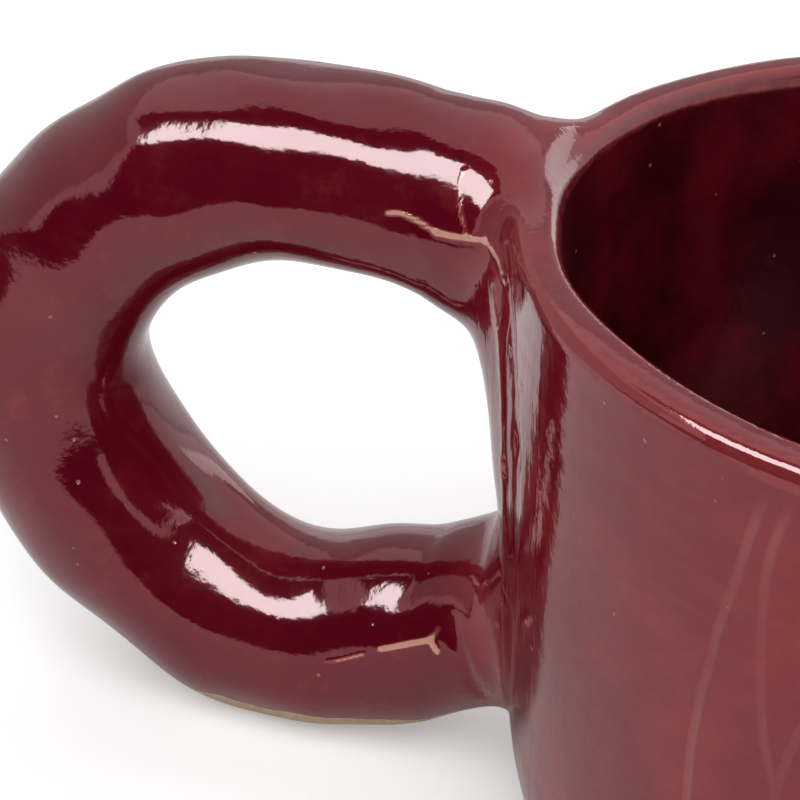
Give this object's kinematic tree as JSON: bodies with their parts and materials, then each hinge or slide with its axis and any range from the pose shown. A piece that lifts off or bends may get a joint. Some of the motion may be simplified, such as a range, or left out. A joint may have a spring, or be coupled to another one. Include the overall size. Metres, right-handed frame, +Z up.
{
  "type": "skyphos cup",
  "caption": "Hand-built stoneware drinking cup with a deep round bowl and a thick looped coil handle luted to each side.",
  "frame": {"origin": "centre of the cup's foot, on the surface it stands on", "axes": "+Z up along the cup's axis, +X along the two handles"},
  "size_m": [0.2234, 0.0916, 0.0765],
  "materials": {
    "glaze": "deep oxblood glaze, high gloss, breaking paler on ridges and rim",
    "bare_clay": "unglazed buff stoneware, matt"
  },
  "bodies": {
    "root": {"cup_wall": "glaze", "floor_slab": "bare_clay", "seam_coil": "glaze", "handle_coil_left": "glaze", "upper_collar_left": "glaze", "lower_collar_left": "glaze", "handle_coil_right": "glaze", "upper_collar_right": "glaze", "lower_collar_right": "glaze"}
  },
  "joints": []
}
